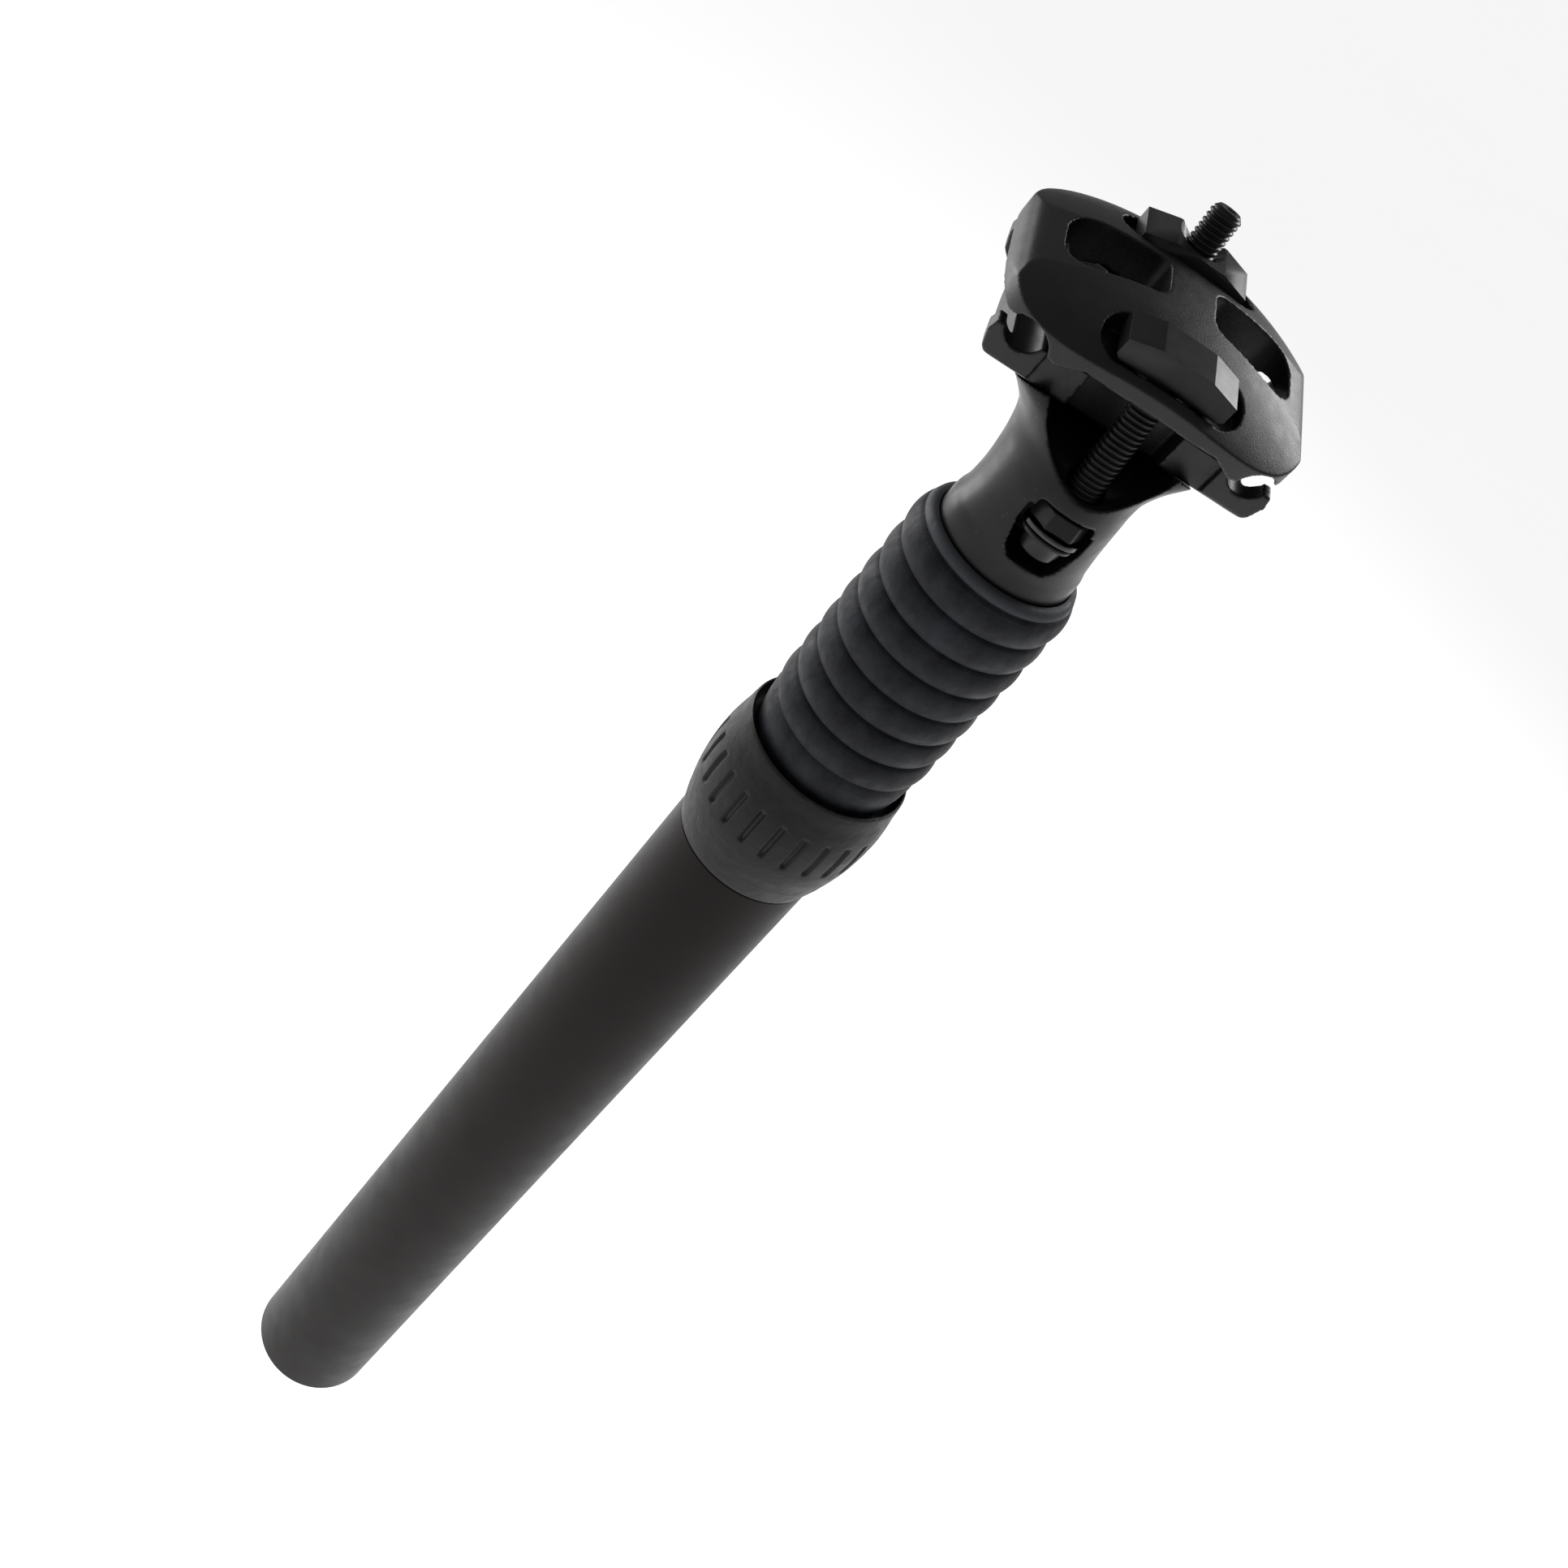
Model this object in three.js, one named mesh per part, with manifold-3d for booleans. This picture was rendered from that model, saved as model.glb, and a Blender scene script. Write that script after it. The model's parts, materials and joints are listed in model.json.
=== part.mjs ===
// Telescopic suspension seatpost with a two-bolt saddle clamp.
// Millimetres, +Z up the post. The origin is the centre of the lower tube's bottom end,
// -Y is the side of the front clamp bolt and +X runs along the saddle's width.
import * as THREE from 'three';
import { mergeVertices } from 'three/addons/utils/BufferGeometryUtils.js';
import Module from 'manifold-3d';

const wasm = await Module();
wasm.setup();

// ---------- driving dimensions ----------

// Lower tube: the size that a bicycle frame clamps.
const TUBE_R = 15.45;
const TUBE_BORE_R = 13.2;
const TUBE_SHOULDER_Z = 231;
const TUBE_NECK_R = 14.9;
const TUBE_TOP_Z = 250;
const TUBE_CHAMFER = 0.8;
const GAP = 0.3;
const ROUND = 48;

// Collar screwed over the tube's top.
const COLLAR_LOW_Z = TUBE_SHOULDER_Z + GAP;
const COLLAR_TOP_Z = 261.3;
const COLLAR_BELLY_R = 18.6;
const COLLAR_CUP_R = 16.75;
const COLLAR_CUP_Z = 257;
const COLLAR_NOTCHES = 24;
const COLLAR_CONE_Z = 236;
const COLLAR_CONE_R = 16.9;

// Sliding shaft and what guides it.
const SHAFT_R = 11.5;
const SHAFT_BORE_R = 9;
const SHAFT_LOW_Z = 150;
const SHAFT_TOP_Z = 318;
const KEY_COUNT = 3;
const KEY_R = 1.1;
const KEY_RING_R = 12.35;
const KEY_LOW_Z = 196;
const KEY_LENGTH = 20;
const BUSH_R = TUBE_BORE_R - GAP;

// Spring stack: plug, seat, coil spring and bottom-out elastomer.
const PLUG_LOW_Z = 8;
const PLUG_TOP_Z = 18;
const SEAT_TOP_Z = 22.5;
const SPRING_LOW_Z = SEAT_TOP_Z + GAP;
const SPRING_TOP_Z = 143.5;
const SPRING_R = 9.6;
const SPRING_WIRE_R = 1.5;
const SPRING_TURNS = 9;
const ELASTOMER_TOP_Z = 98;

// Bellows between the collar and the head.
const BELLOWS_LOW_Z = 257.5;
const BELLOWS_TOP_Z = 317.4;
const BELLOWS_FOLDS = 7;
const BELLOWS_FIRST_RIDGE_Z = 271.5;
const BELLOWS_PITCH = 6.75;
const BELLOWS_RIDGE_R = 16.7;
const BELLOWS_VALLEY_R = 15.7;
const BELLOWS_INNER_R = 14.2;

// Head forging.
const NECK_R = 12.6;
const SKIRT_R = 13.6;
const SKIRT_LOW_Z = 302;
const HEAD_CAP_Z = 353;
const SCOOP_R = 13;
const SCOOP_DEPTH = 10.8;
const SCOOP_Z = 350;
const POCKET_LOW_Z = 323.4;
const POCKET_TOP_Z = 333.9;

// Saddle clamp: its own frame sits between the rails, tilted back to front.
const RAIL_X = 22;
const RAIL_GROOVE_R = 3.65;
const CLAMP_Y = 11;
const CLAMP_Z = 355.7;
const CLAMP_TILT = THREE.MathUtils.degToRad(6.5);
const TROUGH_R = 27.6;
const TROUGH_HEIGHT = 15;
const CRADLE_HALF_LENGTH = 16.3;
const CRADLE_RECESS = 1.2;
const LIP_Y = 12.8;
const CLAMP_CROWN = 11.4;
const SLOT_Y = 15.6;
const SLOT_HALF_LENGTH = 13.5;
const SLOT_HALF_WIDTH = 4.9;
const SLOT_FLOOR = 5.6;
const SEAT_HEIGHT = 9.2;
const NUT_HALF_LENGTH = 10.3;
const NUT_HALF_WIDTH = 4.1;
const BOLT_PASSAGE_R = 3.85;

// Clamp bolts, both leaning back.
const FRONT_LEAN = THREE.MathUtils.degToRad(11);
const REAR_LEAN = THREE.MathUtils.degToRad(8);
const BOLT_R = 2.9;
const BOLT_HOLE_R = 3.5;
const HEX_R = 5;
const HEX_HEIGHT = 3.4;
const HEAD_HEIGHT = 8.8;
const FRONT_SEAT_Z = 335.2;
const REAR_SEAT_Z = 342.2;
const FRONT_TIP_Z = 363;
const REAR_TIP_Z = 376.4;
const FLANGE_R = 4.8;
const WASHER_R = 5.2;
const WASHER_HEIGHT = 0.9;

// ---------- solids ----------

// A closed geometry with shared vertices, no collapsed triangles and its faces pointing out.
function closed(source) {
  const bare = source.clone();
  bare.deleteAttribute('normal');
  bare.deleteAttribute('uv');
  const merged = mergeVertices(bare, 1e-5);
  const index = [];
  for (let i = 0; i < merged.index.count; i += 3) {
    const [a, b, c] = [0, 1, 2].map((k) => merged.index.getX(i + k));
    if (a !== b && b !== c && c !== a) index.push(a, b, c);
  }
  const at = (i) => new THREE.Vector3().fromBufferAttribute(merged.attributes.position, i);
  let volume = 0;
  for (let i = 0; i < index.length; i += 3) {
    volume += at(index[i]).dot(at(index[i + 1]).cross(at(index[i + 2])));
  }
  if (volume < 0) index.reverse();
  merged.setIndex(index);
  return merged;
}

function solid(geometry) {
  const mesh = closed(geometry);
  const vertProperties = new Float32Array(mesh.attributes.position.array);
  const triVerts = new Uint32Array(mesh.index.array);
  return new wasm.Manifold(new wasm.Mesh({ numProp: 3, vertProperties, triVerts }));
}

function geometryOf(body) {
  const mesh = body.getMesh();
  const geometry = new THREE.BufferGeometry();
  geometry.setAttribute('position', new THREE.BufferAttribute(new Float32Array(mesh.vertProperties), 3));
  geometry.setIndex(new THREE.BufferAttribute(new Uint32Array(mesh.triVerts), 1));
  return geometry;
}

function cut(base, ...tools) {
  let body = solid(base);
  for (const tool of tools) body = body.subtract(solid(tool));
  return geometryOf(body);
}

function common(base, ...others) {
  let body = solid(base);
  for (const other of others) body = body.intersect(solid(other));
  return geometryOf(body);
}

function join(base, ...others) {
  let body = solid(base);
  for (const other of others) body = body.add(solid(other));
  return geometryOf(body);
}

// Turns a profile of [radius, z] points about the Z axis.
function turned(points, segments = ROUND) {
  const profile = points.map(([r, z]) => new THREE.Vector2(r, z));
  return new THREE.LatheGeometry(profile, segments).rotateX(Math.PI / 2);
}

function ring(outer, inner, low, high, segments = ROUND) {
  return turned([[inner, low], [outer, low], [outer, high], [inner, high], [inner, low]], segments);
}

function rod(radius, low, high, segments = ROUND) {
  return turned([[0, low], [radius, low], [radius, high], [0, high]], segments);
}

function outline(points) {
  const shape = new THREE.Shape();
  shape.moveTo(...points[0]);
  for (const point of points.slice(1)) shape.lineTo(...point);
  shape.closePath();
  return shape;
}

// Extrudes an XY shape up from low to high.
function slabZ(shape, low, high, curveSegments = 12) {
  const options = { depth: high - low, bevelEnabled: false, curveSegments };
  return new THREE.ExtrudeGeometry(shape, options).translate(0, 0, low);
}

// Extrudes an XZ shape along Y from low to high.
function slabY(shape, low, high, curveSegments = 12) {
  const options = { depth: high - low, bevelEnabled: false, curveSegments };
  return new THREE.ExtrudeGeometry(shape, options).rotateX(Math.PI / 2).translate(0, high, 0);
}

// Extrudes a YZ shape along X from low to high.
function slabX(shape, low, high) {
  const turn = new THREE.Matrix4().makeBasis(
    new THREE.Vector3(0, 1, 0), new THREE.Vector3(0, 0, 1), new THREE.Vector3(1, 0, 0));
  const options = { depth: high - low, bevelEnabled: false };
  return new THREE.ExtrudeGeometry(shape, options).translate(0, 0, low).applyMatrix4(turn);
}

// Points of an arc, with angles in degrees.
function arc(x, y, radius, from, to, steps) {
  const points = [];
  for (let i = 0; i <= steps; i += 1) {
    const angle = THREE.MathUtils.degToRad(from + ((to - from) * i) / steps);
    points.push([x + radius * Math.cos(angle), y + radius * Math.sin(angle)]);
  }
  return points;
}

function mirrored(points) {
  return [...points, ...points.map(([x, y]) => [-x, y]).reverse()];
}

// A body lofted up Z through rounded sections; power squares off the back half and narrows the front.
function lofted(sections, segments = 44) {
  const positions = [];
  const index = [];
  for (const { z, half, front, back, power } of sections) {
    for (let i = 0; i < segments; i += 1) {
      const angle = (2 * Math.PI * i) / segments;
      const c = Math.cos(angle);
      const s = Math.sin(angle);
      const bend = s < 0 ? 1 + (power - 2) * 0.3 : 2 / power;
      const x = half * Math.sign(c) * Math.abs(c) ** bend;
      const y = (front + back) / 2 + ((back - front) / 2) * Math.sign(s) * Math.abs(s) ** bend;
      positions.push(x, y, z);
    }
  }
  for (let level = 0; level + 1 < sections.length; level += 1) {
    for (let i = 0; i < segments; i += 1) {
      const a = level * segments + i;
      const b = level * segments + ((i + 1) % segments);
      index.push(a, b, b + segments, a, b + segments, a + segments);
    }
  }
  const last = (sections.length - 1) * segments;
  for (let i = 1; i + 1 < segments; i += 1) {
    index.push(0, i + 1, i, last, last + i, last + i + 1);
  }
  const geometry = new THREE.BufferGeometry();
  geometry.setAttribute('position', new THREE.Float32BufferAttribute(positions, 3));
  geometry.setIndex(index);
  return geometry;
}

// ---------- outer tube, collar and guides ----------

function lowerTube() {
  const wall = turned([
    [TUBE_BORE_R, 0.4], [TUBE_BORE_R + 0.4, 0], [TUBE_R - TUBE_CHAMFER, 0],
    [TUBE_R, TUBE_CHAMFER], [TUBE_R, TUBE_SHOULDER_Z], [TUBE_NECK_R, TUBE_SHOULDER_Z],
    [TUBE_NECK_R, TUBE_TOP_Z], [TUBE_BORE_R, TUBE_TOP_Z], [TUBE_BORE_R, 0.4],
  ]);
  const seats = keyAngles().map((angle) => keyRod(angle, KEY_R + GAP, KEY_LOW_Z - GAP, KEY_LENGTH + 2 * GAP));
  return cut(wall, ...seats);
}

function collar() {
  const foot = [TUBE_R + 0.1, COLLAR_LOW_Z];
  const shell = turned([
    foot, [COLLAR_CONE_R, COLLAR_CONE_Z], [17.6, 239.2], [18.15, 242.4], [18.45, 245.6],
    [COLLAR_BELLY_R, 249], [18.5, 252.2], [17.8, 257.3], [17.6, 260.4], [17.3, COLLAR_TOP_Z],
    [COLLAR_CUP_R, COLLAR_TOP_Z], [COLLAR_CUP_R, COLLAR_CUP_Z],
    [12.2, COLLAR_CUP_Z], [12.2, 255], [TUBE_NECK_R + GAP, 255], [TUBE_NECK_R + GAP, COLLAR_LOW_Z], foot,
  ]);
  const notches = [];
  for (let i = 0; i < COLLAR_NOTCHES; i += 1) {
    const notch = new THREE.BoxGeometry(0.9, 0.9, 9).translate(0, -18.6, 248.8);
    notches.push(notch.rotateZ((2 * Math.PI * (i + 0.5)) / COLLAR_NOTCHES));
  }
  return cut(shell, ...notches);
}

function upperBushing() {
  return turned([
    [SHAFT_R + GAP, 222], [BUSH_R, 222], [BUSH_R, TUBE_TOP_Z + GAP], [TUBE_NECK_R, TUBE_TOP_Z + GAP],
    [TUBE_NECK_R, TUBE_TOP_Z + 1.6], [SHAFT_R + GAP, TUBE_TOP_Z + 1.6], [SHAFT_R + GAP, 222],
  ]);
}

function wiperSeal() {
  const low = TUBE_TOP_Z + 1.9;
  return turned([
    [SHAFT_R + GAP, low], [TUBE_NECK_R, low], [TUBE_NECK_R, 254.7],
    [SHAFT_R + 1.1, 254.7], [SHAFT_R + GAP, 254], [SHAFT_R + GAP, low],
  ]);
}

function keyAngles() {
  return Array.from({ length: KEY_COUNT }, (_, i) => (2 * Math.PI * i) / KEY_COUNT);
}

function keyRod(angle, radius, low, length) {
  const x = KEY_RING_R * Math.cos(angle);
  const y = KEY_RING_R * Math.sin(angle);
  return rod(radius, low, low + length, 12).translate(x, y, 0);
}

function bellows() {
  const folds = [];
  for (let i = 0; i < BELLOWS_FOLDS; i += 1) {
    const ridge = BELLOWS_FIRST_RIDGE_Z + i * BELLOWS_PITCH;
    folds.push([BELLOWS_VALLEY_R, ridge - BELLOWS_PITCH / 2]);
    folds.push([BELLOWS_RIDGE_R, ridge - 1.1]);
    folds.push([BELLOWS_RIDGE_R, ridge + 1.1]);
  }
  return turned([
    [BELLOWS_INNER_R, BELLOWS_LOW_Z], [15.6, BELLOWS_LOW_Z], [15.8, 262], [16.3, 266], ...folds,
    [15.8, 315.3], [14.5, BELLOWS_TOP_Z], [SKIRT_R + GAP, BELLOWS_TOP_Z],
    [SKIRT_R + GAP, 306], [BELLOWS_INNER_R, 303], [BELLOWS_INNER_R, BELLOWS_LOW_Z],
  ], 36);
}

// ---------- spring stack ----------

function preloadPlug() {
  const body = turned([
    [0, PLUG_LOW_Z], [BUSH_R - 0.8, PLUG_LOW_Z], [BUSH_R, PLUG_LOW_Z + 0.8], [BUSH_R, 11.5],
    [BUSH_R - 1.8, 11.5], [BUSH_R - 1.8, 13.9], [BUSH_R, 13.9], [BUSH_R, PLUG_TOP_Z], [0, PLUG_TOP_Z],
  ]);
  const socket = rod(4.6, PLUG_LOW_Z - 1, PLUG_LOW_Z + 6, 6);
  return cut(body, socket);
}

function plugRing() {
  return ring(BUSH_R, BUSH_R - 1.5, 11.8, 13.6);
}

function springSeat() {
  return turned([
    [0, PLUG_TOP_Z + GAP], [BUSH_R - 0.2, PLUG_TOP_Z + GAP], [BUSH_R - 0.2, 20.8], [12, SEAT_TOP_Z],
    [0, SEAT_TOP_Z],
  ], 36);
}

class SpringHelix extends THREE.Curve {
  getPoint(t, target = new THREE.Vector3()) {
    const angle = 2 * Math.PI * SPRING_TURNS * t;
    const low = SPRING_LOW_Z + SPRING_WIRE_R;
    const rise = SPRING_TOP_Z - SPRING_WIRE_R - low;
    return target.set(SPRING_R * Math.cos(angle), SPRING_R * Math.sin(angle), low + rise * t);
  }
}

function mainSpring() {
  const section = outline(arc(0, 0, SPRING_WIRE_R, 0, 300, 5));
  const options = { steps: SPRING_TURNS * 12, bevelEnabled: false, extrudePath: new SpringHelix() };
  return new THREE.ExtrudeGeometry(section, options);
}

function elastomer() {
  return turned([
    [0, SPRING_LOW_Z], [6.6, SPRING_LOW_Z], [6.6, ELASTOMER_TOP_Z - 4], [5, ELASTOMER_TOP_Z],
    [0, ELASTOMER_TOP_Z],
  ], 28);
}

// ---------- slider ----------

function sliderShaft() {
  const wall = turned([
    [SHAFT_BORE_R, SHAFT_LOW_Z], [SHAFT_R, SHAFT_LOW_Z], [SHAFT_R, 172.7], [10.5, 172.7], [10.5, 175.3],
    [SHAFT_R, 175.3], [SHAFT_R, SHAFT_TOP_Z], [SHAFT_BORE_R, SHAFT_TOP_Z], [SHAFT_BORE_R, SHAFT_LOW_Z],
  ]);
  return cut(wall, ...keyAngles().map((angle) => keyRod(angle, KEY_R + GAP, 192, 66)));
}

function shaftEnd() {
  const step = SHAFT_BORE_R - GAP;
  return turned([
    [0, SPRING_TOP_Z + GAP], [11.4, SPRING_TOP_Z + GAP], [11.4, SHAFT_LOW_Z - GAP], [step, SHAFT_LOW_Z - GAP],
    [step, 160], [step - 1, 161], [0, 161],
  ], 36);
}

function circlip() {
  const band = ring(12.7, 10.8, 173, 175);
  const opening = new THREE.BoxGeometry(3, 8, 6).translate(0, 12, 174);
  return cut(band, opening);
}

// ---------- head ----------

const CLAMP_BASE = new THREE.Matrix4()
  .makeTranslation(0, CLAMP_Y, CLAMP_Z)
  .multiply(new THREE.Matrix4().makeRotationX(CLAMP_TILT));
const TROUGH_CENTRE = new THREE.Vector3(0, 0, TROUGH_HEIGHT).applyMatrix4(CLAMP_BASE);

// Side -1 is the front bolt, side +1 the rear one.
function lean(side) {
  return side < 0 ? FRONT_LEAN : REAR_LEAN;
}

// Point on a bolt's axis at height z.
function boltPoint(side, z) {
  const seat = new THREE.Vector3(0, side * SLOT_Y, SEAT_HEIGHT).applyMatrix4(CLAMP_BASE);
  return new THREE.Vector3(0, seat.y + (z - seat.z) * Math.tan(lean(side)), z);
}

function boltTool(side, radius, low, high, segments = 24) {
  const foot = boltPoint(side, low);
  const length = (high - low) / Math.cos(lean(side));
  return rod(radius, 0, length, segments).rotateX(-lean(side)).translate(foot.x, foot.y, foot.z);
}

function crossRod(radius, halfLength, segments) {
  return rod(radius, -halfLength, halfLength, segments).rotateY(Math.PI / 2);
}

function headBody() {
  const heights = [
    [SKIRT_LOW_Z, SKIRT_R, -SKIRT_R, SKIRT_R, 2],
    [320, SKIRT_R, -SKIRT_R, SKIRT_R, 2],
    [323, 12.9, -14, 13.6, 2],
    [327, 12.4, -14.8, 14.6, 2.1],
    [331, 12.3, -15.3, 16.5, 2.2],
    [334, 12.4, -15.6, 18.5, 2.3],
    [337, 12.8, -15.6, 21, 2.5],
    [340, 14.2, -15.2, 24.5, 2.7],
    [343, 17.8, -14.4, 28.5, 2.9],
    [346, 23.4, -12.6, 32.5, 3],
    [349, 25.8, -11, 34.5, 3],
    [HEAD_CAP_Z, 26.4, -9.6, 35.2, 3],
    [356, 26.4, -9.6, 35.2, 3],
  ];
  return lofted(heights.map(([z, half, front, back, power]) => ({ z, half, front, back, power })));
}

function pocketTool() {
  const shape = outline([
    [-3.4, POCKET_LOW_Z], [3.4, POCKET_LOW_Z], [4.9, POCKET_LOW_Z + 1.8], [6.2, 330.4], [6.2, POCKET_TOP_Z],
    [-6.2, POCKET_TOP_Z], [-6.2, 330.4], [-4.9, POCKET_LOW_Z + 1.8],
  ]);
  return slabY(shape, -20, -3.6);
}

function head() {
  const socket = rod(SHAFT_R + GAP, SKIRT_LOW_Z - 1, SHAFT_TOP_Z + GAP);
  const trough = crossRod(TROUGH_R, 30, 72).translate(...TROUGH_CENTRE);
  const bowl = rod(SCOOP_R, -9, 25, 40).rotateX(Math.PI / 2).scale(1, 1, SCOOP_DEPTH / SCOOP_R);
  const ramp = outline([[-26, 325], [20, 325], [20, 342.6], [-5, 342], [-8.4, 341.2], [-13.4, 337], [-26, 337]]);
  const scoop = cut(bowl.translate(0, 0, SCOOP_Z), slabX(ramp, -20, 20));
  const cap = new THREE.BoxGeometry(60, 20, 20).translate(0, -12, HEAD_CAP_Z + 10);
  const seats = [boltTool(-1, 5.7, FRONT_SEAT_Z - 6, FRONT_SEAT_Z), boltTool(1, 6.6, REAR_SEAT_Z - 12, REAR_SEAT_Z)];
  return cut(headBody(), socket, trough, scoop, cap, pocketTool(), ...seats,
    boltTool(-1, BOLT_HOLE_R, 331, 352), boltTool(1, BOLT_HOLE_R, 334, 360));
}

// ---------- saddle clamp ----------

function lowerCradle() {
  const groove = arc(RAIL_X, 0, RAIL_GROOVE_R, 270 - 220 / 3, 270 + 220 / 3, 11);
  const half = [
    [17.6, -0.9], ...groove, [26.9, -0.9], [27.4, -3.2], [26.4, -6.4], [23.4, -9.2], [23.4, -13],
  ];
  const block = slabY(outline(mirrored(half)), -CRADLE_HALF_LENGTH, CRADLE_HALF_LENGTH);
  const belly = crossRod(TROUGH_R - GAP, 30, 72).translate(0, 0, TROUGH_HEIGHT);
  const recess = new THREE.BoxGeometry(34.6, 20, 40).translate(0, CRADLE_RECESS - CRADLE_HALF_LENGTH - 10, 0);
  const frontNotch = new THREE.BoxGeometry(18.6, 20, 40).translate(0, -20.5, 0);
  const rearNotch = new THREE.BoxGeometry(18.6, 20, 40).translate(0, 14.2, 0);
  const sides = [-1, 1].map((side) => new THREE.BoxGeometry(10, 2 * LIP_Y, 40).translate(side * 28, 0, 0));
  return cut(common(block, belly), recess, frontNotch, rearNotch, ...sides);
}

function clampOutline() {
  const points = [];
  for (let i = 0; i < 52; i += 1) {
    const angle = (2 * Math.PI * i) / 52;
    const c = Math.cos(angle);
    const s = Math.sin(angle);
    points.push([29 * Math.sign(c) * Math.abs(c) ** 0.6, 1.4 + 24 * Math.sign(s) * Math.abs(s) ** 0.6]);
  }
  return outline(points);
}

function windowShape(side) {
  const front = [[4.5, -0.8], [5.6, -2.6], [17.4, -4.9], [20.4, -4.4], [22.4, -1.8], [22.6, 2]];
  const rear = [[22.4, 6], [20.6, 8.6], [17.6, 9.4], [6, 8], [4.6, 6.8]];
  return outline([...front, ...rear].map(([x, y]) => [side * x, y]));
}

function slotShape(halfLength, halfWidth) {
  const shape = new THREE.Shape();
  const reach = halfLength - halfWidth;
  shape.absarc(reach, 0, halfWidth, -Math.PI / 2, Math.PI / 2, false);
  shape.absarc(-reach, 0, halfWidth, Math.PI / 2, (3 * Math.PI) / 2, false);
  return shape;
}

function topClamp() {
  const groove = arc(RAIL_X, 0, RAIL_GROOVE_R, 24, 166, 8);
  const crown = [[29, 1.2], [28.9, 2.6], [28, 4.6], [25.6, 6.6], [18, 9.1], [0, 12]];
  const half = [
    [0, 3.4], [12.5, 3.2], [16.8, 0.8], ...groove.reverse(), [26.6, 0.6], ...crown,
  ];
  const profile = outline([...half, ...half.slice(1, -1).map(([x, z]) => [-x, z]).reverse()]);
  const arch = slabY(profile, -28, 28);
  const plan = slabZ(clampOutline(), -2, 14);
  const dome = new THREE.SphereGeometry(1, 48, 28).scale(42, 36, 20).translate(0, 1.2, CLAMP_CROWN - 20);
  const openings = [slabZ(windowShape(1), -2, 14), slabZ(windowShape(-1), -2, 14)];
  for (const side of [-1, 1]) {
    const pocket = slabZ(slotShape(SLOT_HALF_LENGTH, SLOT_HALF_WIDTH), SLOT_FLOOR, 16);
    const throat = slabZ(slotShape(SLOT_HALF_WIDTH + 0.6, SLOT_HALF_WIDTH), -2, SLOT_FLOOR + 1);
    const passage = rod(BOLT_PASSAGE_R, -11.5, -3, 24).rotateX(-lean(side) - CLAMP_TILT);
    openings.push(pocket.translate(0, side * SLOT_Y, 0), throat.translate(0, side * SLOT_Y, 0));
    openings.push(passage.translate(0, side * SLOT_Y, SEAT_HEIGHT));
  }
  return cut(common(arch, plan, dome), ...openings);
}

// A wedge nut, flat with the clamp and bored along its leaning bolt; the front one is blind.
function wedgeNut(side) {
  const end = NUT_HALF_LENGTH;
  const profile = outline(mirrored([[4.8, 3], [end, 1.5], [end, -1.6], [end - 0.8, -2.4]]));
  const bar = slabY(profile, -NUT_HALF_WIDTH, NUT_HALF_WIDTH);
  const bore = rod(BOLT_R + 0.5, -9, side < 0 ? 1.6 : 9, 24).rotateX(-lean(side) - CLAMP_TILT);
  return cut(bar, bore);
}

// ---------- bolts ----------

// Origin at the top of the hex; the washer runs on the neck between the hex and the flange.
function clampBolt(length) {
  const hex = rod(HEX_R, -HEX_HEIGHT, 0, 6).rotateZ(Math.PI / 6);
  const flangeTop = -HEX_HEIGHT - WASHER_HEIGHT - 2 * GAP;
  const shank = turned([
    [0, -HEAD_HEIGHT], [3.1, -HEAD_HEIGHT], [3.9, flangeTop - 0.9], [FLANGE_R, flangeTop - 0.9],
    [FLANGE_R, flangeTop], [BOLT_R, flangeTop], [BOLT_R, length - 0.6], [BOLT_R - 0.6, length], [0, length],
  ], 24);
  return cut(join(hex, shank), rod(2, -HEAD_HEIGHT - 1, -HEAD_HEIGHT + 2.6, 6));
}

function washer() {
  const top = -HEX_HEIGHT - GAP;
  return ring(WASHER_R, BOLT_R + GAP, top - WASHER_HEIGHT, top, 24);
}

// ---------- assembly ----------

const FINISHES = {
  anodised: { color: 0x1b1a1b, roughness: 0.42, metalness: 0.75 },
  forged: { color: 0x1f1f20, roughness: 0.38, metalness: 0.7 },
  clampBlack: { color: 0x29292b, roughness: 0.5, metalness: 0.65 },
  oxide: { color: 0x141416, roughness: 0.3, metalness: 0.85 },
  rubber: { color: 0x24262a, roughness: 0.85, metalness: 0 },
  polymer: { color: 0xd8d2c0, roughness: 0.6, metalness: 0 },
  brass: { color: 0xb08a45, roughness: 0.35, metalness: 0.9 },
  steel: { color: 0x8d8f93, roughness: 0.32, metalness: 0.95 },
  elastomerRed: { color: 0xa8322a, roughness: 0.7, metalness: 0 },
  polishedShaft: { color: 0x6f7175, roughness: 0.22, metalness: 0.95 },
};

const seatpost = new THREE.Group();

function place(name, geometry, finish, parent = seatpost) {
  const mesh = new THREE.Mesh(closed(geometry), new THREE.MeshStandardMaterial(FINISHES[finish]));
  mesh.geometry.computeVertexNormals();
  mesh.name = name;
  parent.add(mesh);
  return mesh;
}

function addOuterTube() {
  place('lower_tube', lowerTube(), 'anodised');
  place('collar', collar(), 'anodised');
  place('upper_bushing', upperBushing(), 'polymer');
  place('lower_bushing', ring(BUSH_R, SHAFT_R + GAP, 182, 192), 'polymer');
  place('wiper_seal', wiperSeal(), 'rubber');
  keyAngles().forEach((angle, i) => {
    place(`guide_key_${i + 1}`, keyRod(angle, KEY_R, KEY_LOW_Z, KEY_LENGTH), 'brass');
  });
  place('bellows', bellows(), 'rubber');
}

function addSpringStack() {
  place('preload_plug', preloadPlug(), 'anodised');
  place('plug_o_ring', plugRing(), 'rubber');
  place('spring_seat', springSeat(), 'polymer');
  place('main_spring', mainSpring(), 'steel');
  place('elastomer', elastomer(), 'elastomerRed');
}

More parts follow.
